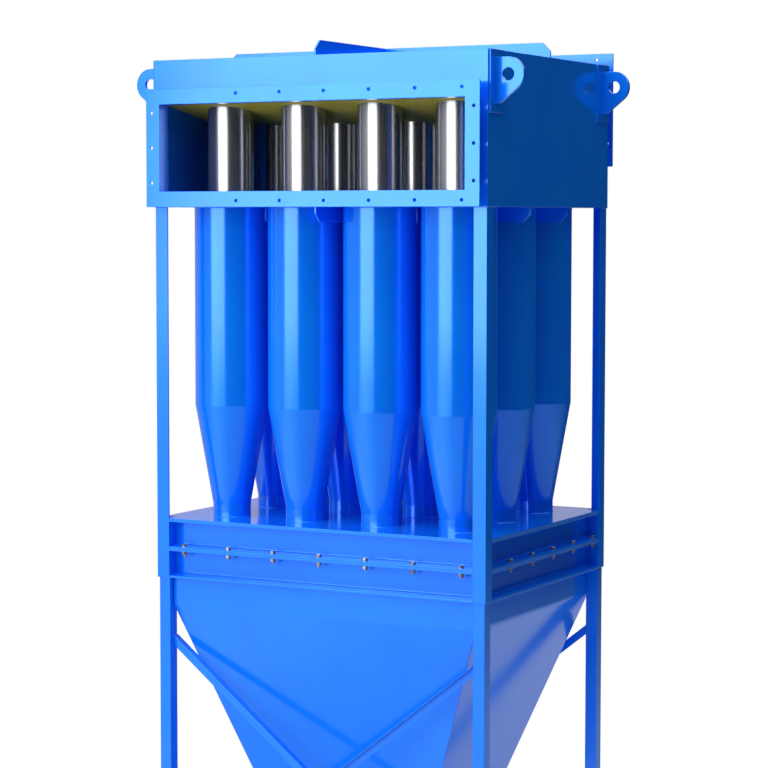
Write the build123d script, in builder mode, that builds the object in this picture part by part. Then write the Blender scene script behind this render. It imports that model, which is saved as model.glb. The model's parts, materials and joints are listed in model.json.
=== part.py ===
"""Multi-cyclone dust separator: twelve cyclones between an upper plenum and a dust hopper on four legs.

Millimetres. X runs left to right along the inlet face, Y from the inlet face to the outlet face,
Z up from the ground. The origin is on the ground under the middle of the machine.
"""

import os
from math import atan2, cos, radians, sin, tan

from build123d import *

os.makedirs("parts", exist_ok=True)

# Frame over the corner posts
frame_w = 1200.0
frame_d = 920.0
floor_z = 2800.0  # underside of the plenum above the ground
post_leg = 45.0
post_t = 5.0

# Plenum box on top
plenum_h = 475.0
wall_t = 3.0
roof_t = 5.0
floor_t = 6.0
divider_t = 4.0
divider_front = 345.0  # height of the sloping divider above the floor underside, at the inlet wall
divider_back = 186.0

# Duct flanges, mitred from angle bar
flange_h = 380.0
flange_leg = 50.0
flange_t = 5.0
flange_hole_d = 11.0
hole_edge = 20.0
row_right = 60.0  # last hole of a row to the right end of the flange
row_left = 340.0  # first hole of a row to the left end
row_holes = 6
column_pitch = 112.5

# Stiffening ribs above the roof and below the floor
rib_t = 6.0
rib_h = 48.0
rib_chamfer = 27.0

# Lifting lugs
lug_inset = 52.0  # lug plane behind the inlet wall and before the outlet wall
pad_w = 90.0
pad_h = 190.0
pad_t = 6.0
eye_t = 12.0
eye_r = 52.0
eye_hole_d = 40.0
eye_reach = 45.0  # hole centre from the side wall
eye_below = 75.0  # hole centre under the roof
eye_root = 140.0  # height of the eye plate at its pad

# Cyclones, as many as fit in the frame
margin_x = 180.0  # frame edge to the outer cyclone axis
margin_y = 175.0
cyclone_d = 240.0
cyclone_gap = 36.0  # least clear space between neighbouring barrels
cyclone_t = 4.0
barrel_h = 648.0
neck_d = 124.0
neck_h = 40.0
neck_below = 15.0  # neck end under the dust plate
cyclone_drop = 1018.0  # floor underside to the top of the dust plate
tube_d = 150.0
tube_t = 3.0
tube_dip = 250.0  # outlet tube inside the cyclone
tube_above = 6.0
vane_count = 8
vane_h = 60.0
vane_t = 3.0
vane_rise = 40.0  # degrees above level
seat_gap = 0.3  # clearance round each neck, tube and vane ring

# Dust plate and the two bolted channel rings
dust_t = 5.0
ring_h = 96.0
ring_web = 6.0
ring_t = 7.0  # flange at its free edge
ring_slope = 0.12  # taper of the inner flange faces
ring_fillet = 3.0

# Hopper
skirt_h = 90.0
skirt_inset = 25.0  # skirt behind the front and back frame faces
hopper_t = 4.0
hopper_bend = 40.0
hopper_gap = 1.0  # skirt clear of the legs
outlet_side = 250.0
outlet_z = 360.0
outlet_lip = 50.0
outlet_t = 8.0
outlet_hole_d = 11.0

# Legs and braces
leg_t = 3.0
foot_w = 160.0
foot_d = 100.0
foot_t = 10.0
anchor_d = 14.0
anchor_pitch = 110.0
brace_leg = 25.0
brace_t = 3.0
brace_below = 104.0  # brace end under the hopper fold
brace_foot = 507.0

half_w = frame_w / 2
half_d = frame_d / 2
roof_z = floor_z + plenum_h
dust_z = floor_z - cyclone_drop
ring_z = dust_z - dust_t - ring_h
ring_low = ring_z - ring_h
leg_side = post_leg - post_t
leg_pitch_x = frame_w - 2 * post_t - leg_side
leg_pitch_y = frame_d - 2 * post_t - leg_side
bank_w = frame_w - 2 * margin_x
bank_d = frame_d - 2 * margin_y
columns = int(bank_w / (cyclone_d + cyclone_gap)) + 1
rows = int(bank_d / (cyclone_d + cyclone_gap)) + 1
pitch_x = bank_w / (columns - 1)
pitch_y = bank_d / (rows - 1)
opening_w = frame_w - 2 * flange_leg
opening_h = flange_h - 2 * flange_leg
outlet_lift = plenum_h - roof_t - flange_h + flange_leg


def save(part, name):
    part.label = name
    export_step(part, f"parts/{name}.step")


def upright(x, y, z, inward):
    """Plane standing across the frame: its x runs inward, its y up."""
    return Plane(origin=(x, y, z), x_dir=inward, z_dir=Vector(*inward).cross(Vector(0, 0, 1)))


# Plenum walls
walls = {"front_wall": (-1, flange_leg), "back_wall": (1, outlet_lift + flange_leg)}
for name, (side, sill) in walls.items():
    with BuildPart() as end_wall:
        with BuildSketch(Plane.XZ.offset(-side * half_d)):
            with Locations((0, floor_z + plenum_h / 2)):
                Rectangle(frame_w + 2 * wall_t, plenum_h)
            with Locations((0, floor_z + sill + opening_h / 2)):
                Rectangle(opening_w, opening_h, mode=Mode.SUBTRACT)
        extrude(amount=-side * wall_t)
    save(end_wall.part, name)

for name, side in {"left_wall": -1, "right_wall": 1}.items():
    with BuildPart() as side_wall:
        with BuildSketch(Plane.YZ.offset(side * half_w)):
            with Locations((0, floor_z + plenum_h / 2)):
                Rectangle(frame_d, plenum_h)
        extrude(amount=side * wall_t)
    save(side_wall.part, name)

with BuildPart() as roof_plate:
    with BuildSketch(Plane.XY.offset(roof_z - roof_t)):
        Rectangle(frame_w, frame_d)
    extrude(amount=roof_t)
save(roof_plate.part, "roof_plate")

with BuildPart() as floor_plate:
    with BuildSketch(Plane.XY.offset(floor_z)):
        Rectangle(frame_w, frame_d)
        with GridLocations(pitch_x, pitch_y, columns, rows):
            Circle(cyclone_d / 2 - cyclone_t, mode=Mode.SUBTRACT)
    extrude(amount=floor_t)
save(floor_plate.part, "floor_plate")

with BuildPart() as divider_plate:
    with BuildSketch(Plane.YZ):
        Polygon(
            (-half_d, floor_z + divider_front),
            (half_d, floor_z + divider_back),
            (half_d, floor_z + divider_back + divider_t),
            (-half_d, floor_z + divider_front + divider_t),
            align=None,
        )
    extrude(amount=half_w, both=True)
    with BuildSketch(Plane.XY.offset(floor_z)):
        with GridLocations(pitch_x, pitch_y, columns, rows):
            Circle(tube_d / 2 + seat_gap)
    extrude(amount=plenum_h, mode=Mode.SUBTRACT)
save(divider_plate.part, "divider_plate")

# Duct flanges: a drilled face leg and a deep leg that lines the mouth back to the wall
flange_row = (frame_w - row_left - row_right) / (row_holes - 1)
row_shift = (row_left - row_right) / 2
for name, side, lift in (("inlet_flange", -1, 0.0), ("outlet_flange", 1, outlet_lift)):
    wall_face = half_d + wall_t
    centre_z = floor_z + lift + flange_h / 2
    with BuildPart() as duct_flange:
        with BuildSketch(Plane.XZ.offset(-side * (wall_face + flange_leg))):
            with Locations((0, centre_z)):
                Rectangle(frame_w, flange_h)
                Rectangle(opening_w, opening_h, mode=Mode.SUBTRACT)
            with Locations((row_shift, centre_z)):
                with GridLocations(flange_row, flange_h - 2 * hole_edge, row_holes, 2):
                    Circle(flange_hole_d / 2, mode=Mode.SUBTRACT)
            with Locations((0, centre_z)):
                with GridLocations(frame_w - 2 * hole_edge, column_pitch, 2, 3):
                    Circle(flange_hole_d / 2, mode=Mode.SUBTRACT)
        extrude(amount=side * flange_t)
        with BuildSketch(Plane.XZ.offset(-side * wall_face)):
            with Locations((0, centre_z)):
                Rectangle(opening_w + 2 * flange_t, opening_h + 2 * flange_t)
                Rectangle(opening_w, opening_h, mode=Mode.SUBTRACT)
        extrude(amount=-side * flange_leg)
    save(duct_flange.part, name)


def rib_outline(half_length, base_z, up):
    """Flat bar on edge with both free corners cut off."""
    top = base_z + up * rib_h
    shoulder = base_z + up * (rib_h - rib_chamfer)
    return [
        (-half_length, base_z),
        (half_length, base_z),
        (half_length, shoulder),
        (half_length - rib_chamfer, top),
        (rib_chamfer - half_length, top),
        (-half_length, shoulder),
    ]


with BuildPart() as roof_ribs:
    with BuildSketch(Plane.XZ):
        Polygon(*rib_outline(half_w, roof_z, 1), align=None)
    with BuildSketch(Plane.YZ):
        Polygon(*rib_outline(half_d, roof_z, 1), align=None)
    extrude(amount=rib_t / 2, both=True)
save(roof_ribs.part, "roof_ribs")

with BuildPart() as floor_ribs:
    for lane in range(rows - 1):
        y = (lane + 1 - rows / 2) * pitch_y
        with BuildSketch(Plane.XZ.offset(-y)):
            Polygon(*rib_outline(half_w, floor_z, -1), align=None)
    with BuildSketch(Plane.YZ.offset((columns // 2 - columns / 2) * pitch_x)):
        Polygon(*rib_outline(half_d, floor_z, -1), align=None)
    extrude(amount=rib_t / 2, both=True)
save(floor_ribs.part, "floor_ribs")

# Lifting lugs: a doubler pad on the side wall with the eye plate welded across it
eye_z = roof_z - eye_below
lug_y = half_d + wall_t - lug_inset
pad_face = half_w + wall_t + pad_t
lugs = {"front_left": (-1, -1), "front_right": (1, -1), "back_left": (-1, 1), "back_right": (1, 1)}
for name, (sx, sy) in lugs.items():
    with BuildPart() as lug:
        with BuildSketch(Plane.YZ.offset(sx * (half_w + wall_t))):
            with Locations((sy * lug_y, roof_z - pad_h / 2)):
                Rectangle(pad_w, pad_h)
        extrude(amount=sx * pad_t)
        with BuildSketch(Plane.XZ.offset(-sy * lug_y)):
            with Locations((sx * (half_w + wall_t + eye_reach), eye_z)):
                Circle(eye_r)
            with Locations((sx * (pad_face + eye_t / 2), eye_z + eye_r - eye_root / 2)):
                Rectangle(eye_t, eye_root)
            make_hull()
            with Locations((sx * (pad_face - eye_r), eye_z)):
                Rectangle(2 * eye_r, 2 * eye_root, mode=Mode.SUBTRACT)
            with Locations((sx * (half_w + wall_t + eye_reach), eye_z)):
                Circle(eye_hole_d / 2, mode=Mode.SUBTRACT)
        extrude(amount=eye_t / 2, both=True)
    save(lug.part, f"lug_{name}")

# Cyclone bodies: barrel, cone and neck turned in one wall thickness
barrel_r = cyclone_d / 2
neck_r = neck_d / 2
barrel_end = floor_z - barrel_h
cone_end = dust_z + neck_h
neck_end = dust_z - dust_t - neck_below
for row in range(rows):
    for column in range(columns):
        x = (column - (columns - 1) / 2) * pitch_x
        y = (row - (rows - 1) / 2) * pitch_y
        with BuildPart() as cyclone:
            with BuildSketch(Plane.XZ.offset(-y)):
                with BuildLine():
                    Polyline(
                        (x + barrel_r, floor_z),
                        (x + barrel_r, barrel_end),
                        (x + neck_r, cone_end),
                        (x + neck_r, neck_end),
                        (x + neck_r - cyclone_t, neck_end),
                        (x + neck_r - cyclone_t, cone_end),
                        (x + barrel_r - cyclone_t, barrel_end),
                        (x + barrel_r - cyclone_t, floor_z),
                        close=True,
                    )
                make_face()
            revolve(axis=Axis((x, y, 0), (0, 0, 1)))
        save(cyclone.part, f"cyclone_{row + 1}{column + 1}")

# Clean-air tubes, cut along the slope of the divider, each in a ring of spin vanes level with the floor
tube_r = tube_d / 2
slope = atan2(divider_front - divider_back, frame_d)
vane_top = floor_z + floor_t
vane_run = vane_h / tan(radians(vane_rise))
vane_edge = vane_t / sin(radians(vane_rise))
vane_section = [
    (-(vane_run + vane_edge) / 2, -vane_h),
    (-(vane_run - vane_edge) / 2, -vane_h),
    ((vane_run + vane_edge) / 2, 0),
    ((vane_run - vane_edge) / 2, 0),
]
for row in range(rows):
    y = (row - (rows - 1) / 2) * pitch_y
    with BuildPart() as tubes:
        for column in range(columns):
            x = (column - (columns - 1) / 2) * pitch_x
            for vane in range(vane_count):
                outward = Vector(1, 0, 0).rotate(Axis.Z, vane * 360 / vane_count)
                hub = Vector(x, y, vane_top) + outward * tube_r / 2
                with BuildSketch(Plane(hub, x_dir=Vector(0, 0, 1).cross(outward), z_dir=outward)):
                    Polygon(*vane_section, align=None)
        extrude(amount=barrel_r)
        with BuildSketch(Plane.XY.offset(vane_top)):
            with Locations((0, y)):
                with GridLocations(pitch_x, pitch_y, columns, 1):
                    Circle(barrel_r - cyclone_t - seat_gap)
                    Circle(tube_r - tube_t / 2, mode=Mode.SUBTRACT)
        extrude(amount=-vane_h, mode=Mode.INTERSECT)
        with BuildSketch(Plane.XY.offset(floor_z - tube_dip)):
            with Locations((0, y)):
                with GridLocations(pitch_x, pitch_y, columns, 1):
                    Circle(tube_r)
                    Circle(tube_r - tube_t, mode=Mode.SUBTRACT)
        extrude(amount=tube_dip + plenum_h)
        cut_z = floor_z + divider_front + divider_t + tube_above
        split(
            bisect_by=Plane((0, -half_d, cut_z), x_dir=(1, 0, 0), z_dir=(0, tan(slope), 1)),
            keep=Keep.BOTTOM,
        )
    save(tubes.part, f"outlet_tubes_{row + 1}")

# Corner posts of angle bar, from the plenum to the foot of the rings
with BuildPart() as posts:
    with BuildSketch(Plane.XY.offset(ring_low)):
        with GridLocations(frame_w - post_leg, frame_d - post_leg, 2, 2):
            Rectangle(post_leg, post_leg)
        with GridLocations(leg_pitch_x, leg_pitch_y, 2, 2):
            Rectangle(leg_side, leg_side, mode=Mode.SUBTRACT)
    extrude(amount=floor_z - ring_low)
save(posts.part, "posts")

with BuildPart() as dust_plate:
    with BuildSketch(Plane.XY.offset(dust_z - dust_t)):
        Rectangle(frame_w, frame_d)
        with GridLocations(frame_w - post_leg, frame_d - post_leg, 2, 2):
            Rectangle(post_leg, post_leg, mode=Mode.SUBTRACT)
        with GridLocations(pitch_x, pitch_y, columns, rows):
            Circle(neck_r + seat_gap, mode=Mode.SUBTRACT)
    extrude(amount=dust_t)
save(dust_plate.part, "dust_plate")

# Channel rings, open side outward, fitted between the posts
ring_reach = post_leg + ring_web
ring_root = ring_t + ring_slope * post_leg
run_x = frame_w - 2 * post_leg
run_y = frame_d - 2 * post_leg
ring_sides = (
    ((0, -half_d), (0, 1, 0), run_x),
    ((0, half_d), (0, -1, 0), run_x),
    ((-half_w, 0), (1, 0, 0), run_y),
    ((half_w, 0), (-1, 0, 0), run_y),
)
for name, z in {"upper_ring": ring_z, "lower_ring": ring_low}.items():
    with BuildPart() as ring:
        for (x, y), inward, run in ring_sides:
            with BuildSketch(upright(x, y, z, inward)) as channel:
                with BuildLine():
                    Polyline(
                        (0, 0),
                        (ring_reach, 0),
                        (ring_reach, ring_h),
                        (0, ring_h),
                        (0, ring_h - ring_t),
                        (post_leg, ring_h - ring_root),
                        (post_leg, ring_root),
                        (0, ring_t),
                        close=True,
                    )
                make_face()
                roots = channel.vertices().filter_by(lambda v: abs(v.X - post_leg) < post_t)
                fillet(roots, radius=ring_fillet)
            extrude(amount=run / 2, both=True)
    save(ring.part, name)

# Hopper: four folded plates, mitred along the corner lines
skirt_w = half_w - post_leg - hopper_gap
skirt_d = half_d - skirt_inset
outlet_half = outlet_side / 2
fold_z = ring_low - skirt_h


def folded_outline(reach):
    """Section of a hopper wall before its bend is rounded: skirt, slope and the same line inside."""
    turn = atan2(reach - outlet_half, fold_z - outlet_z)
    return [
        (reach, ring_low),
        (reach, fold_z),
        (outlet_half, outlet_z),
        (outlet_half - hopper_t / cos(turn), outlet_z),
        (reach - hopper_t, fold_z - hopper_t * tan(turn / 2)),
        (reach - hopper_t, ring_low),
    ]


hopper_sides = {
    "hopper_front": (upright(0, 0, 0, (0, -1, 0)), skirt_d, skirt_w, -90),
    "hopper_back": (upright(0, 0, 0, (0, 1, 0)), skirt_d, skirt_w, 90),
    "hopper_left": (upright(0, 0, 0, (-1, 0, 0)), skirt_w, skirt_d, 180),
    "hopper_right": (upright(0, 0, 0, (1, 0, 0)), skirt_w, skirt_d, 0),
}
for name, (plane, reach, width, turn_deg) in hopper_sides.items():
    with BuildPart() as hopper_wall:
        with BuildSketch(plane) as section:
            Polygon(*folded_outline(reach), align=None)
            bend = section.vertices().filter_by(lambda v: abs(v.Y - fold_z) < hopper_t).sort_by(Axis.X)
            fillet(bend[1], radius=hopper_bend)
            fillet(bend[0], radius=hopper_bend - hopper_t)
        extrude(amount=width, both=True)
        with BuildSketch(Plane.XY.rotated((0, 0, turn_deg))):
            reach_in = outlet_half - 2 * hopper_t
            lean = (width - outlet_half) / (reach - outlet_half)
            width_in = outlet_half - 2 * hopper_t * lean
            Polygon(
                (reach_in, -width_in),
                (reach, -width),
                (reach, width),
                (reach_in, width_in),
                align=None,
            )
        extrude(amount=floor_z, mode=Mode.INTERSECT)
    save(hopper_wall.part, name)

with BuildPart() as hopper_outlet:
    with BuildSketch(Plane.XY.offset(outlet_z - outlet_t)):
        Rectangle(outlet_side + 2 * outlet_lip, outlet_side + 2 * outlet_lip)
        Rectangle(outlet_side - 2 * hopper_t, outlet_side - 2 * hopper_t, mode=Mode.SUBTRACT)
        with GridLocations(outlet_side + outlet_lip, outlet_side + outlet_lip, 2, 2):
            Circle(outlet_hole_d / 2, mode=Mode.SUBTRACT)
        with PolarLocations((outlet_side + outlet_lip) / 2, 4):
            Circle(outlet_hole_d / 2, mode=Mode.SUBTRACT)
    extrude(amount=outlet_t)
save(hopper_outlet.part, "hopper_outlet")

# Legs of square tube nested in the posts, each on its foot plate
for name, (sx, sy) in lugs.items():
    with BuildPart() as leg:
        x = sx * leg_pitch_x / 2
        y = sy * leg_pitch_y / 2
        with BuildSketch():
            with Locations((x, y)):
                Rectangle(foot_w, foot_d)
                with GridLocations(anchor_pitch, 0, 2, 1):
                    Circle(anchor_d / 2, mode=Mode.SUBTRACT)
        extrude(amount=foot_t)
        with BuildSketch(Plane.XY.offset(foot_t)):
            with Locations((x, y)):
                Rectangle(leg_side, leg_side)
                Rectangle(leg_side - 2 * leg_t, leg_side - 2 * leg_t, mode=Mode.SUBTRACT)
        extrude(amount=dust_z - foot_t)
    save(leg.part, f"leg_{name}")

# Cross braces of angle bar, back to back in the plane of the leg centres
brace_half = half_w - post_leg
brace_top = fold_z - brace_below
brace_turn = atan2(brace_top - brace_foot, 2 * brace_half)


def brace_strip(hand, width):
    """Strip along one diagonal, measured down from its upper edge."""
    depth = width / cos(brace_turn)
    return [
        (-hand * brace_half, brace_top),
        (hand * brace_half, brace_foot),
        (hand * brace_half, brace_foot - depth),
        (-hand * brace_half, brace_top - depth),
    ]


for name, side in {"front_braces": -1, "back_braces": 1}.items():
    with BuildPart() as braces:
        for hand in (1, -1):
            with BuildSketch(Plane.XZ.offset(-side * leg_pitch_y / 2)):
                Polygon(*brace_strip(hand, brace_leg), align=None)
            extrude(amount=hand * side * brace_t)
            with BuildSketch(Plane.XZ.offset(-side * leg_pitch_y / 2)):
                Polygon(*brace_strip(hand, brace_t), align=None)
            extrude(amount=hand * side * brace_leg)
    save(braces.part, name)
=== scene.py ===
"""Studio picture of the multi-cyclone separator: finishes, ring bolts, weld beads, light and camera."""

import json
from math import cos, pi, radians, sin

import bpy
from mathutils import Euler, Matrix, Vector


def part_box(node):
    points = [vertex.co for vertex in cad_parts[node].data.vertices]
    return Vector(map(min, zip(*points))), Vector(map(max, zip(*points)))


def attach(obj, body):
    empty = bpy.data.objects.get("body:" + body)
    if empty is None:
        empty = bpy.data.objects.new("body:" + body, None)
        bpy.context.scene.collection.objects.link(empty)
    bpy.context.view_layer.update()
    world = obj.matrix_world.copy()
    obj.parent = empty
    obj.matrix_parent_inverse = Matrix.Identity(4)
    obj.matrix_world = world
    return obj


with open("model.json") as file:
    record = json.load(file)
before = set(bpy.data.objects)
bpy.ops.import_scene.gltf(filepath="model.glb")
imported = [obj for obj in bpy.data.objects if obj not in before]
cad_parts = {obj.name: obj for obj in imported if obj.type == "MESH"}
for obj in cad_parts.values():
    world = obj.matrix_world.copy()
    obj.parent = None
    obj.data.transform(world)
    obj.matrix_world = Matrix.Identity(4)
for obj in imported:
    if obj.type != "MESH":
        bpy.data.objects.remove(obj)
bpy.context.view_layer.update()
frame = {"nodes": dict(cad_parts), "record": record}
MM = 0.001
WHITE = (1.0, 1.0, 1.0, 1.0)
# Band of a noise texture that holds nearly all its values
NOISE_LOW = 0.3
NOISE_HIGH = 0.7


def linear(code):
    """Linear colour of an sRGB hex value."""
    parts = [int(code[i:i + 2], 16) / 255 for i in (1, 3, 5)]
    return [c / 12.92 if c <= 0.04045 else ((c + 0.055) / 1.055) ** 2.4 for c in parts] + [1.0]


def add(tree, kind, inputs=None, **settings):
    """One node with its settings; inputs hold values or the sockets that feed it."""
    node = tree.nodes.new(kind)
    for name, value in settings.items():
        setattr(node, name, value)
    for name, value in (inputs or {}).items():
        if isinstance(value, bpy.types.NodeSocket):
            tree.links.new(value, node.inputs[name])
        else:
            node.inputs[name].default_value = value
    return node


def finish_tree(name):
    """New material and its emptied node tree."""
    material = bpy.data.materials.new(name)
    material.use_nodes = True
    material.node_tree.nodes.clear()
    return material, material.node_tree


def per_metre(size_mm):
    """Texture scale whose features are about size_mm across."""
    return 1000.0 / size_mm


# Finishes

# Two-pack blue enamel sprayed on steel plate: a wet, deep gloss with a little flake under the clear film.
# Sheet and tube reflect the studio almost like a mirror, with the faint ripple of sprayed paint.
PEEL_MM = 9.0  # ripple of the sprayed film
FILM_MM = 240.0  # drift of the colour over a plate
DUST_MM = 55.0  # patches of duller gloss
EDGE_MM = 2.5  # rounding of the plate edges under the paint


def blue_enamel():
    material, tree = finish_tree("blue_enamel_on_steel")
    place = add(tree, "ShaderNodeTexCoord").outputs["Object"]
    film = add(tree, "ShaderNodeTexNoise", {"Vector": place, "Scale": per_metre(FILM_MM), "Detail": 3.0})
    tone = add(tree, "ShaderNodeMapRange", {
        "Value": film.outputs["Fac"], "From Min": NOISE_LOW, "From Max": NOISE_HIGH,
    })
    colour = add(tree, "ShaderNodeMix", {
        "Factor": tone.outputs["Result"], "A": linear("#087BFF"), "B": linear("#0D82FF"),
    }, data_type="RGBA")
    dust = add(tree, "ShaderNodeTexNoise", {"Vector": place, "Scale": per_metre(DUST_MM), "Detail": 5.0})
    rough = add(tree, "ShaderNodeMapRange", {
        "Value": dust.outputs["Fac"], "From Min": 0.35, "From Max": 0.7, "To Min": 0.16, "To Max": 0.22,
    })
    peel = add(tree, "ShaderNodeTexNoise", {"Vector": place, "Scale": per_metre(PEEL_MM), "Detail": 1.0})
    edge = add(tree, "ShaderNodeBevel", {"Radius": EDGE_MM * MM}, samples=4)
    bump = add(tree, "ShaderNodeBump", {
        "Height": peel.outputs["Fac"], "Strength": 0.02, "Distance": 0.4 * MM,
        "Normal": edge.outputs["Normal"],
    })
    paint = add(tree, "ShaderNodeBsdfPrincipled", {
        "Base Color": colour.outputs["Result"], "Metallic": 0.3, "Roughness": rough.outputs["Result"],
        "Specular IOR Level": 0.0, "Coat Weight": 1.0, "Coat Roughness": 0.13, "Coat IOR": 1.45,
        "Normal": bump.outputs["Normal"], "Coat Normal": bump.outputs["Normal"],
    })
    add(tree, "ShaderNodeOutputMaterial", {"Surface": paint.outputs["BSDF"]})
    return material


# Welded stainless tube, drawn and polished: a bright mirror with fine lines along its length.
DRAW_MM = 1.6  # lines across the tube
DRAW_RUN = 0.004  # their shortening along it


def stainless_tube():
    material, tree = finish_tree("polished_stainless_tube")
    place = add(tree, "ShaderNodeTexCoord").outputs["Object"]
    along = add(tree, "ShaderNodeMapping", {"Vector": place, "Scale": (1.0, 1.0, DRAW_RUN)})
    lines = add(tree, "ShaderNodeTexNoise", {
        "Vector": along.outputs["Vector"], "Scale": per_metre(DRAW_MM), "Detail": 2.0,
    })
    rough = add(tree, "ShaderNodeMapRange", {
        "Value": lines.outputs["Fac"], "From Min": NOISE_LOW, "From Max": NOISE_HIGH,
        "To Min": 0.18, "To Max": 0.28,
    })
    bump = add(tree, "ShaderNodeBump", {
        "Height": lines.outputs["Fac"], "Strength": 0.01, "Distance": 0.05 * MM,
    })
    steel = add(tree, "ShaderNodeBsdfPrincipled", {
        "Base Color": linear("#ABADAF"), "Metallic": 0.92, "Roughness": rough.outputs["Result"],
        "Normal": bump.outputs["Normal"],
    })
    add(tree, "ShaderNodeOutputMaterial", {"Surface": steel.outputs["BSDF"]})
    return material


# Ochre coat rolled on the divider plate: satin, slightly blotched.
BLOTCH_MM = 80.0


def ochre_coat():
    material, tree = finish_tree("satin_ochre_coat")
    place = add(tree, "ShaderNodeTexCoord").outputs["Object"]
    blotch = add(tree, "ShaderNodeTexNoise", {
        "Vector": place, "Scale": per_metre(BLOTCH_MM), "Detail": 4.0,
    })
    tone = add(tree, "ShaderNodeMapRange", {
        "Value": blotch.outputs["Fac"], "From Min": NOISE_LOW, "From Max": NOISE_HIGH,
    })
    colour = add(tree, "ShaderNodeMix", {
        "Factor": tone.outputs["Result"], "A": linear("#B7A936"), "B": linear("#C9BB43"),
    }, data_type="RGBA")
    rough = add(tree, "ShaderNodeMapRange", {
        "Value": blotch.outputs["Fac"], "To Min": 0.35, "To Max": 0.55,
    })
    coat = add(tree, "ShaderNodeBsdfPrincipled", {
        "Base Color": colour.outputs["Result"], "Roughness": rough.outputs["Result"],
    })
    add(tree, "ShaderNodeOutputMaterial", {"Surface": coat.outputs["BSDF"]})
    return material


# Zinc-plated steel fasteners: dull warm grey metal, cloudy from the plating bath.
CLOUD_MM = 6.0


def zinc_plate():
    material, tree = finish_tree("zinc_plated_steel")
    place = add(tree, "ShaderNodeTexCoord").outputs["Object"]
    cloud = add(tree, "ShaderNodeTexNoise", {
        "Vector": place, "Scale": per_metre(CLOUD_MM), "Detail": 3.0,
    })
    colour = add(tree, "ShaderNodeMix", {
        "Factor": cloud.outputs["Fac"], "A": linear("#A79E8C"), "B": linear("#CFC9BC"),
    }, data_type="RGBA")
    rough = add(tree, "ShaderNodeMapRange", {
        "Value": cloud.outputs["Fac"], "To Min": 0.25, "To Max": 0.45,
    })
    zinc = add(tree, "ShaderNodeBsdfPrincipled", {
        "Base Color": colour.outputs["Result"], "Metallic": 1.0, "Roughness": rough.outputs["Result"],
    })
    add(tree, "ShaderNodeOutputMaterial", {"Surface": zinc.outputs["BSDF"]})
    return material


enamel = blue_enamel()
stainless = stainless_tube()
ochre = ochre_coat()
zinc = zinc_plate()
slot_finish = {"blue_paint": enamel, "stainless_steel": stainless, "ochre_coat": ochre}
node_slots = {piece["node"]: piece["material_slot"] for piece in frame["record"]["subparts"]}
for name, node in frame["nodes"].items():
    finish = slot_finish[node_slots[name]]
    for place in node.material_slots:
        place.material = finish
    if not node.material_slots:
        node.data.materials.append(finish)


# Pieces grown by Geometry Nodes

def shape_tree(name, sizes):
    """Geometry Nodes tree with a named input for each size; gives its inputs and its output node."""
    tree = bpy.data.node_groups.new(name, "GeometryNodeTree")
    tree.interface.new_socket("Layout", in_out="INPUT", socket_type="NodeSocketGeometry")
    for size in sizes:
        tree.interface.new_socket(size, in_out="INPUT", socket_type="NodeSocketFloat")
    tree.interface.new_socket("Shape", in_out="OUTPUT", socket_type="NodeSocketGeometry")
    return tree, add(tree, "NodeGroupInput").outputs, add(tree, "NodeGroupOutput")


def grown_piece(name, tree, sizes, points, edges):
    """Plain mesh that the tree grows on a layout of points and edges, riding on the machine."""
    layout = bpy.data.meshes.new(name + "_layout")
    layout.from_pydata(points, edges, [])
    piece = bpy.data.objects.new(name, layout)
    bpy.context.scene.collection.objects.link(piece)
    grower = piece.modifiers.new(tree.name, "NODES")
    grower.node_group = tree
    for item in tree.interface.items_tree:
        if item.name in sizes:
            grower[item.identifier] = sizes[item.name]
    shown = piece.evaluated_get(bpy.context.evaluated_depsgraph_get())
    mesh = bpy.data.meshes.new_from_object(shown)
    piece.modifiers.remove(grower)
    piece.data = mesh
    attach(piece, "root")


# Ring bolts: hexagon head above the joint of the two rings, nut and bare thread below it.
# The washers bed into the taper of the flanges.
HEXAGON = 6
ROUND = 16
WASHER_SIDES = 24
RING_BOLT = {
    "Thread End Radius": 4.2 * MM,
    "Thread Radius": 5.0 * MM,
    "Hexagon End Radius": 7.6 * MM,
    "Hexagon Radius": 9.0 * MM,
    "Washer Radius": 10.0 * MM,
    "Chamfer": 1.2 * MM,
    "Tail": 4.5 * MM,
    "Nut Height": 7.0 * MM,
    "Washer Height": 2.6 * MM,
    "Grip": 16.0 * MM,
    "Head Height": 5.0 * MM,
}
# Rows from the foot of the thread upward: sides, radius at the foot, radius at the top, height
BOLT_STACK = (
    (ROUND, "Thread End Radius", "Thread Radius", "Chamfer"),
    (ROUND, "Thread Radius", "Thread Radius", "Tail"),
    (HEXAGON, "Hexagon End Radius", "Hexagon Radius", "Chamfer"),
    (HEXAGON, "Hexagon Radius", "Hexagon Radius", "Nut Height"),
    (WASHER_SIDES, "Washer Radius", "Washer Radius", "Washer Height"),
    (ROUND, "Thread Radius", "Thread Radius", "Grip"),
    (WASHER_SIDES, "Washer Radius", "Washer Radius", "Washer Height"),
    (HEXAGON, "Hexagon Radius", "Hexagon Radius", "Head Height"),
    (HEXAGON, "Hexagon Radius", "Hexagon End Radius", "Chamfer"),
)
BELOW_GRIP = 5  # rows of the stack under the grip
MERGE_WITHIN = 0.01 * MM
INSIDE_OVER = 2.5  # an end face shut in between two rows has three faces at each of its edges
BOLT_FROM_EDGE = 20.0 * MM
LONG_SIDE_BOLTS = 7
LONG_SIDE_PITCH = 169.0 * MM
SHORT_SIDE_BOLTS = 6
SHORT_SIDE_PITCH = 162.0 * MM
TURN_SEED = 7


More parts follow.
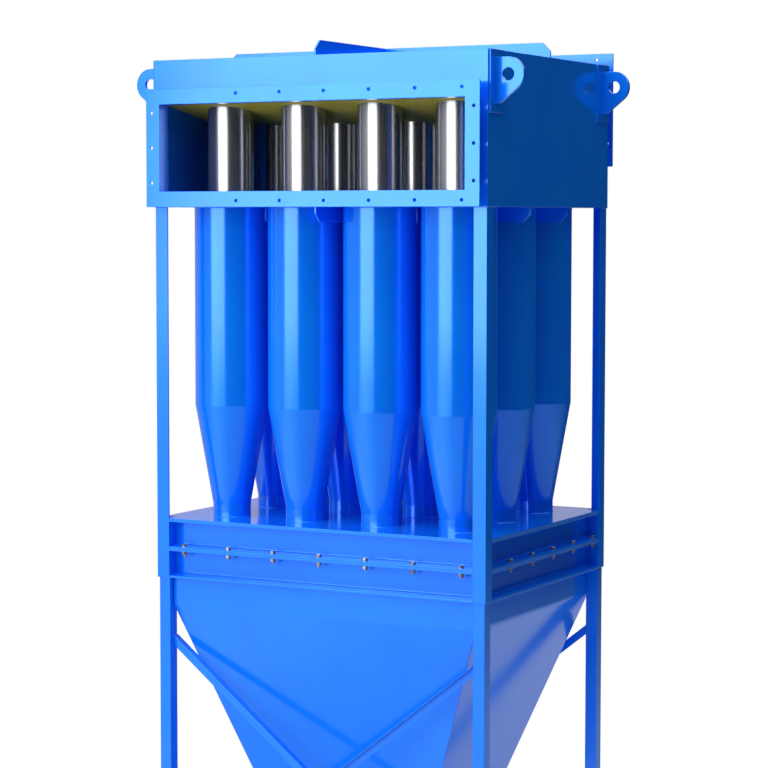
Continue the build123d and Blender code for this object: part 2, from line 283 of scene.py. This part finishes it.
def ring_bolt_tree():
    """Bolts that stand on points at the foot of their thread."""
    tree, size, result = shape_tree("ring_bolt_set", RING_BOLT)
    bolt = add(tree, "GeometryNodeJoinGeometry")
    level = 0.0
    for sides, foot_r, top_r, height in BOLT_STACK:
        stub = add(tree, "GeometryNodeMeshCone", {
            "Vertices": sides, "Radius Bottom": size[foot_r], "Radius Top": size[top_r],
            "Depth": size[height],
        })
        lift = add(tree, "ShaderNodeCombineXYZ", {"Z": level})
        raised = add(tree, "GeometryNodeTransform", {
            "Geometry": stub.outputs["Mesh"], "Translation": lift.outputs["Vector"],
        })
        tree.links.new(raised.outputs["Geometry"], bolt.inputs["Geometry"])
        level = add(tree, "ShaderNodeMath", {
            0: level, 1: size[height],
        }, operation="ADD").outputs["Value"]
    welded = add(tree, "GeometryNodeMergeByDistance", {
        "Geometry": bolt.outputs["Geometry"], "Distance": MERGE_WITHIN,
    })
    edge_faces = add(tree, "GeometryNodeInputMeshEdgeNeighbors").outputs["Face Count"]
    inside = add(tree, "FunctionNodeCompare", {
        0: edge_faces, 1: INSIDE_OVER,
    }, operation="GREATER_THAN")
    shell = add(tree, "GeometryNodeDeleteGeometry", {
        "Geometry": welded.outputs["Geometry"], "Selection": inside.outputs["Result"],
    }, domain="FACE")
    turn = add(tree, "FunctionNodeRandomValue", {2: 0.0, 3: 2 * pi / HEXAGON, "Seed": TURN_SEED})
    spin = add(tree, "ShaderNodeCombineXYZ", {"Z": turn.outputs[1]})
    bolts = add(tree, "GeometryNodeInstanceOnPoints", {
        "Points": size["Layout"], "Instance": shell.outputs["Geometry"],
        "Rotation": spin.outputs["Vector"],
    })
    solid = add(tree, "GeometryNodeRealizeInstances", {"Geometry": bolts.outputs["Instances"]})
    plated = add(tree, "GeometryNodeSetMaterial", {
        "Geometry": solid.outputs["Geometry"], "Material": zinc,
    })
    tree.links.new(plated.outputs["Geometry"], result.inputs["Shape"])
    return tree


def ring_bolts():
    low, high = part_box("upper_ring")
    below = sum(RING_BOLT[height] for sides, foot_r, top_r, height in BOLT_STACK[:BELOW_GRIP])
    foot = low.z - RING_BOLT["Grip"] / 2 - below
    points = []
    for i in range(LONG_SIDE_BOLTS):
        x = (i - (LONG_SIDE_BOLTS - 1) / 2) * LONG_SIDE_PITCH
        points += [(x, low.y + BOLT_FROM_EDGE, foot), (x, high.y - BOLT_FROM_EDGE, foot)]
    for i in range(SHORT_SIDE_BOLTS):
        y = (i - (SHORT_SIDE_BOLTS - 1) / 2) * SHORT_SIDE_PITCH
        points += [(low.x + BOLT_FROM_EDGE, y, foot), (high.x - BOLT_FROM_EDGE, y, foot)]
    grown_piece("ring_bolts", ring_bolt_tree(), RING_BOLT, points, [])


# Weld beads: small fillets along the joints, painted over with the plates
WELD_BEAD = {"Bead Radius": 2.2 * MM, "Ripple Pitch": 5.0 * MM}
BEAD_SIDES = 8
BEAD_LEAST = 0.8
BEAD_MOST = 1.15
BEAD_SEED = 3
ARC_POINTS = 48
STITCH = 50.0 * MM
STITCH_PITCH = 150.0 * MM
# Sizes of the plates and bars that the beads follow
NECK_R = 62.0 * MM
PAD_T = 6.0 * MM
EYE_T = 12.0 * MM
EYE_R = 52.0 * MM
EYE_ROOT = 140.0 * MM
FLANGE_LEG = 50.0 * MM
FLANGE_T = 5.0 * MM
RIB_T = 6.0 * MM
POST_LEG = 45.0 * MM
RING_T = 7.0 * MM
HOPPER_OUTLET = 250.0 * MM
LEG_SIDE = 40.0 * MM
FOOT_T = 10.0 * MM
BRACE_CUT = 32.0 * MM


def weld_bead_tree():
    tree, size, result = shape_tree("weld_bead", WELD_BEAD)
    seam = add(tree, "GeometryNodeMeshToCurve", {"Mesh": size["Layout"]})
    ripple = add(tree, "GeometryNodeResampleCurve", {
        "Curve": seam.outputs["Curve"], "Length": size["Ripple Pitch"],
    }, mode="LENGTH")
    section = add(tree, "GeometryNodeCurvePrimitiveCircle", {
        "Resolution": BEAD_SIDES, "Radius": size["Bead Radius"],
    })
    swell = add(tree, "FunctionNodeRandomValue", {2: BEAD_LEAST, 3: BEAD_MOST, "Seed": BEAD_SEED})
    bead = add(tree, "GeometryNodeCurveToMesh", {
        "Curve": ripple.outputs["Curve"], "Profile Curve": section.outputs["Curve"],
        "Scale": swell.outputs[1], "Fill Caps": True,
    })
    smooth = add(tree, "GeometryNodeSetShadeSmooth", {"Geometry": bead.outputs["Mesh"]})
    solid = add(tree, "GeometryNodeRealizeInstances", {"Geometry": smooth.outputs["Geometry"]})
    painted = add(tree, "GeometryNodeSetMaterial", {
        "Geometry": solid.outputs["Geometry"], "Material": enamel,
    })
    tree.links.new(painted.outputs["Geometry"], result.inputs["Shape"])
    return tree


def circle(x, y, z, radius):
    turns = [2 * pi * i / ARC_POINTS for i in range(ARC_POINTS)]
    return [(x + radius * cos(turn), y + radius * sin(turn), z) for turn in turns]


def square(axis, at, first, second):
    """Corners of a rectangle across one axis; first and second are its reaches along the other two."""
    corners = []
    for a, b in ((0, 0), (1, 0), (1, 1), (0, 1)):
        corner = [first[a], second[b]]
        corner.insert(axis, at)
        corners.append(tuple(corner))
    return corners


def stitches(start, end):
    """Short welds spaced evenly along a rib."""
    run = Vector(end) - Vector(start)
    count = round(run.length / STITCH_PITCH)
    half = run.normalized() * STITCH / 2
    middles = [Vector(start) + run * ((i + 0.5) / count) for i in range(count)]
    return [[middle - half, middle + half] for middle in middles]


def cyclone_seams():
    dust_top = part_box("dust_plate")[1].z
    loops = []
    for name in frame["nodes"]:
        if name.startswith("cyclone_"):
            low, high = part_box(name)
            x, y = (low.x + high.x) / 2, (low.y + high.y) / 2
            loops += [circle(x, y, high.z, (high.x - low.x) / 2), circle(x, y, dust_top, NECK_R)]
    return loops


def lug_seams():
    loops, runs = [], []
    for mount in frame["record"]["mounts"]:
        if mount["name"].startswith("lug_"):
            low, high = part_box(mount["name"])
            x, y, z = mount["pos_m"]
            wall, out = (low.x, 1) if x > 0 else (high.x, -1)
            loops.append(square(0, wall, (low.y, high.y), (low.z, high.z)))
            for side in (-1, 1):
                edge = y + side * EYE_T / 2
                face = wall + out * PAD_T
                runs.append([(face, edge, z + EYE_R - EYE_ROOT), (face, edge, z + EYE_R)])
    return loops, runs


def flange_seams():
    inset = FLANGE_LEG - FLANGE_T
    loops = []
    for name in ("inlet_flange", "outlet_flange"):
        low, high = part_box(name)
        wall = high.y if name == "inlet_flange" else low.y
        loops.append(square(1, wall, (low.x + inset, high.x - inset), (low.z + inset, high.z - inset)))
    return loops


def rib_seams():
    runs = []
    low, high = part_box("roof_ribs")
    for side in (-RIB_T / 2, RIB_T / 2):
        runs += stitches((low.x, side, low.z), (high.x, side, low.z))
        runs += stitches((side, low.y, low.z), (side, high.y, low.z))
    low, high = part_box("floor_ribs")
    lane = (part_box("cyclone_21")[0].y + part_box("cyclone_11")[1].y) / 2
    for side in (-RIB_T / 2, RIB_T / 2):
        runs += stitches((low.x, lane + side, high.z), (high.x, lane + side, high.z))
        runs += stitches((low.x, -lane + side, high.z), (high.x, -lane + side, high.z))
    return runs


def frame_seams():
    loops, runs = [], []
    for name in ("upper_ring", "lower_ring"):
        low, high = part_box(name)
        web = (low.z + RING_T, high.z - RING_T)
        for x in (low.x + POST_LEG, high.x - POST_LEG):
            for y in (low.y + POST_LEG, high.y - POST_LEG):
                runs.append([(x, y, web[0]), (x, y, web[1])])
    low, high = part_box("posts")
    for x, out_x in ((low.x, 1), (high.x, -1)):
        for y, out_y in ((low.y, 1), (high.y, -1)):
            runs.append([
                (x + out_x * POST_LEG, y, high.z), (x, y, high.z), (x, y + out_y * POST_LEG, high.z),
            ])
    for name in ("leg_front_left", "leg_front_right", "leg_back_left", "leg_back_right"):
        low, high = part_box(name)
        x, y = (low.x + high.x) / 2, (low.y + high.y) / 2
        half = LEG_SIDE / 2
        loops.append(square(2, low.z + FOOT_T, (x - half, x + half), (y - half, y + half)))
    for name in ("front_braces", "back_braces"):
        low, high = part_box(name)
        y = (low.y + high.y) / 2
        for x in (low.x, high.x):
            runs.append([(x, y, high.z - BRACE_CUT), (x, y, high.z)])
            runs.append([(x, y, low.z), (x, y, low.z + BRACE_CUT)])
    return loops, runs


def hopper_seams():
    """Hopper to the ring above and to its outlet below; its corners are welded on the inside."""
    front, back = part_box("hopper_front"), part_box("hopper_back")
    left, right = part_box("hopper_left"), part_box("hopper_right")
    mouth = (-HOPPER_OUTLET / 2, HOPPER_OUTLET / 2)
    return [
        square(2, front[1].z, (left[0].x, right[1].x), (front[0].y, back[1].y)),
        square(2, front[0].z, mouth, mouth),
    ]


def weld_beads():
    loops = cyclone_seams() + flange_seams() + hopper_seams()
    runs = rib_seams()
    for more_loops, more_runs in (lug_seams(), frame_seams()):
        loops += more_loops
        runs += more_runs
    points, edges = [], []
    for path in loops + runs:
        first = len(points)
        points += path
        edges += [(first + i, first + i + 1) for i in range(len(path) - 1)]
        if path in loops:
            edges.append((len(points) - 1, first))
    grown_piece("weld_beads", weld_bead_tree(), WELD_BEAD, points, edges)


ring_bolts()
weld_beads()


# Studio, in metres: pale floor, a large softbox, a panel overhead, dark and grey drapes out of view

def bearing(degrees, radius, z):
    """Point at a bearing from the front of the machine, counted towards its right side."""
    return (radius * sin(radians(degrees)), -radius * cos(radians(degrees)), z)


def white_to_camera(tree):
    """Share of the rays, direct or mirrored, that see the far studio as plain white."""
    light_path = add(tree, "ShaderNodeLightPath").outputs
    return add(tree, "ShaderNodeMath", {
        0: light_path["Is Camera Ray"], 1: light_path["Is Glossy Ray"],
    }, operation="MAXIMUM").outputs["Value"]


def staged_mesh(name, points, faces):
    mesh = bpy.data.meshes.new(name)
    mesh.from_pydata(points, [], faces)
    piece = bpy.data.objects.new(name, mesh)
    bpy.context.scene.collection.objects.link(piece)
    return piece


FLOOR_R = 60.0
FLOOR_SIDES = 64
# The machine's shadow shows as far as SHADOW_NEAR and has faded to white at SHADOW_FAR
SHADOW_NEAR = 2.2
SHADOW_FAR = 3.7
# Painted shade of the dark drapes: the paint mirrors the floor's glow dimmed on their side, along a line
# at this bearing
SHADE_AT = 80.0
SHADE_FROM = -1.0
SHADE_TO = 1.5
SHADE_LEVEL = 0.5
# On the other side it mirrors the white floor from nearer to the machine, with painted shade that makes
# it less bright close to it
EVEN_FROM = -0.4
EVEN_TO = 0.2
EVEN_SHIFT = 1.8
NEAR_FROM = 1.6
NEAR_TO = 2.4
NEAR_LEVEL = 0.55


def studio_floor():
    turns = [2 * pi * i / FLOOR_SIDES for i in range(FLOOR_SIDES)]
    rim = [(FLOOR_R * cos(turn), FLOOR_R * sin(turn), 0.0) for turn in turns]
    floor = staged_mesh("studio_floor", rim, [tuple(range(FLOOR_SIDES))])
    material, tree = finish_tree("pale_studio_floor")
    place = add(tree, "ShaderNodeTexCoord").outputs["Object"]
    reach = add(tree, "ShaderNodeVectorMath", {0: place}, operation="LENGTH").outputs["Value"]
    rays = add(tree, "ShaderNodeLightPath").outputs
    across = add(tree, "ShaderNodeVectorMath", {
        0: place, 1: bearing(SHADE_AT, 1.0, 0.0),
    }, operation="DOT_PRODUCT").outputs["Value"]
    nearer = add(tree, "ShaderNodeMapRange", {
        "Value": across, "From Min": EVEN_FROM, "From Max": EVEN_TO,
        "To Min": EVEN_SHIFT, "To Max": 0.0,
    }).outputs["Result"]
    mirrored = add(tree, "ShaderNodeMath", {
        0: rays["Is Glossy Ray"], 1: nearer, 2: reach,
    }, operation="MULTIPLY_ADD").outputs["Value"]
    far = add(tree, "ShaderNodeMapRange", {
        "Value": mirrored, "From Min": SHADOW_NEAR, "From Max": SHADOW_FAR,
    }).outputs["Result"]
    # Painted shade: the floor's glow, as mirrored, is less bright close to the machine
    painted_near_shade = add(tree, "ShaderNodeMapRange", {
        "Value": reach, "From Min": NEAR_FROM, "From Max": NEAR_TO,
        "To Min": NEAR_LEVEL, "To Max": 1.0,
    }).outputs["Result"]
    # Painted shade: the floor's glow, as mirrored, dims towards the dark drapes
    shade = add(tree, "ShaderNodeMapRange", {
        "Value": across, "From Min": SHADE_FROM, "From Max": SHADE_TO,
        "To Min": 1.0, "To Max": SHADE_LEVEL,
    }).outputs["Result"]
    # Both painted shades together set how bright the paint mirrors the floor's glow
    painted_shade_level = add(tree, "ShaderNodeMath", {
        0: painted_near_shade, 1: shade,
    }, operation="MULTIPLY").outputs["Value"]
    level = add(tree, "ShaderNodeMath", {
        0: rays["Is Camera Ray"], 1: painted_shade_level,
    }, operation="MAXIMUM").outputs["Value"]
    seen = white_to_camera(tree)
    share = add(tree, "ShaderNodeMath", {
        0: far, 1: seen,
    }, operation="MULTIPLY").outputs["Value"]
    lit = add(tree, "ShaderNodeBsdfDiffuse", {"Color": linear("#F2F2F2")})
    white = add(tree, "ShaderNodeEmission", {"Color": WHITE, "Strength": level})
    blend = add(tree, "ShaderNodeMixShader", {
        0: share, 1: lit.outputs["BSDF"], 2: white.outputs["Emission"],
    })
    add(tree, "ShaderNodeOutputMaterial", {"Surface": blend.outputs["Shader"]})
    floor.data.materials.append(material)


DRAPE_R = 6.2
DRAPE_TOP = 5.0
DRAPE_HEM = 0.95  # height over which the cloth fades from the floor's tone to its own
DRAPE_PANELS = 32
HEM_TONE = "#B8B8B8"
# Bearings of the drapes' ends
DARK_FROM = 8.0
GREY_FROM = 196.0
GREY_TO = 323.0


def drapes(name, first, last, tone):
    """Cloth hung round part of the studio: it shows only in the paint, as a dark or grey side."""
    points = []
    for i in range(DRAPE_PANELS + 1):
        turn = first + (last - first) * i / DRAPE_PANELS
        points += [bearing(turn, DRAPE_R, 0.0), bearing(turn, DRAPE_R, DRAPE_TOP)]
    faces = [(2 * i, 2 * i + 1, 2 * i + 3, 2 * i + 2) for i in range(DRAPE_PANELS)]
    cloth = staged_mesh(name, points, faces)
    material, tree = finish_tree(name + "_cloth")
    place = add(tree, "ShaderNodeTexCoord").outputs["Object"]
    height = add(tree, "ShaderNodeSeparateXYZ", {"Vector": place}).outputs["Z"]
    fade = add(tree, "ShaderNodeMapRange", {
        "Value": height, "From Max": DRAPE_HEM,
    }, interpolation_type="SMOOTHSTEP")
    shade = add(tree, "ShaderNodeMix", {
        "Factor": fade.outputs["Result"], "A": linear(HEM_TONE), "B": linear(tone),
    }, data_type="RGBA")
    weave = add(tree, "ShaderNodeBsdfDiffuse", {"Color": shade.outputs["Result"]})
    add(tree, "ShaderNodeOutputMaterial", {"Surface": weave.outputs["BSDF"]})
    cloth.data.materials.append(material)
    cloth.visible_camera = False


SOFTBOX_AT = -13.2  # bearing
SOFTBOX_DISTANCE = 12.0
SOFTBOX_SIZE = 9.2
SOFTBOX_MID_Z = 6.3
SOFTBOX_RADIANCE = 3.8
OVERHEAD_SIZE = 6.0
OVERHEAD_AT = (-0.6, -2.4, 9.0)
OVERHEAD_RADIANCE = 3.6
FILL = 0.7


def panel_lamp(name, size, radiance):
    lamp = bpy.data.lights.new(name, "AREA")
    lamp.shape = "SQUARE"
    lamp.size = size
    lamp.energy = radiance * pi * size ** 2
    panel = bpy.data.objects.new(name, lamp)
    bpy.context.scene.collection.objects.link(panel)
    return panel


def studio_light():
    softbox = panel_lamp("softbox", SOFTBOX_SIZE, SOFTBOX_RADIANCE)
    softbox.location = bearing(SOFTBOX_AT, SOFTBOX_DISTANCE, SOFTBOX_MID_Z)
    softbox.rotation_euler = (radians(90), 0.0, radians(SOFTBOX_AT))
    overhead = panel_lamp("overhead_panel", OVERHEAD_SIZE, OVERHEAD_RADIANCE)
    overhead.location = OVERHEAD_AT

    world = bpy.data.worlds.new("white_studio")
    world.use_nodes = True
    tree = world.node_tree
    tree.nodes.clear()
    seen = white_to_camera(tree)
    fill = add(tree, "ShaderNodeBackground", {"Color": WHITE, "Strength": FILL})
    white = add(tree, "ShaderNodeBackground", {"Color": WHITE, "Strength": 1.0})
    blend = add(tree, "ShaderNodeMixShader", {
        0: seen, 1: fill.outputs["Background"], 2: white.outputs["Background"],
    })
    add(tree, "ShaderNodeOutputWorld", {"Surface": blend.outputs["Shader"]})
    bpy.context.scene.world = world


# Camera of the photo, fitted to the corners of the box, the rings and the posts; angles in degrees
CAMERA_AT = (3.74971, -6.96516, 2.75705)
CAMERA_YAW = 28.3036
CAMERA_DOWN = 3.9246
CAMERA_ROLL = 0.058
CAMERA_LENS = 111.59
CAMERA_SENSOR = 36.0
CAMERA_REACH = 200.0


def photo_camera():
    lens = bpy.data.cameras.new("photo_camera")
    lens.sensor_width = CAMERA_SENSOR
    lens.lens = CAMERA_LENS
    lens.clip_end = CAMERA_REACH
    camera = bpy.data.objects.new("photo_camera", lens)
    turn = Euler((0.0, 0.0, radians(CAMERA_YAW))).to_matrix()
    tip = Euler((radians(90.0 - CAMERA_DOWN), 0.0, 0.0)).to_matrix()
    roll = Euler((0.0, 0.0, radians(CAMERA_ROLL))).to_matrix()
    camera.rotation_euler = (turn @ tip @ roll).to_euler()
    camera.location = CAMERA_AT
    bpy.context.scene.collection.objects.link(camera)
    bpy.context.scene.camera = camera


studio_floor()
drapes("dark_drapes", DARK_FROM, GREY_FROM, "#1A1A1C")
drapes("grey_drapes", GREY_FROM, GREY_TO, "#BEBEC0")
studio_light()
photo_camera()
bpy.context.scene.view_settings.view_transform = "Standard"
bpy.context.scene.cycles.diffuse_bounces = 10
bpy.context.scene.cycles.glossy_bounces = 8
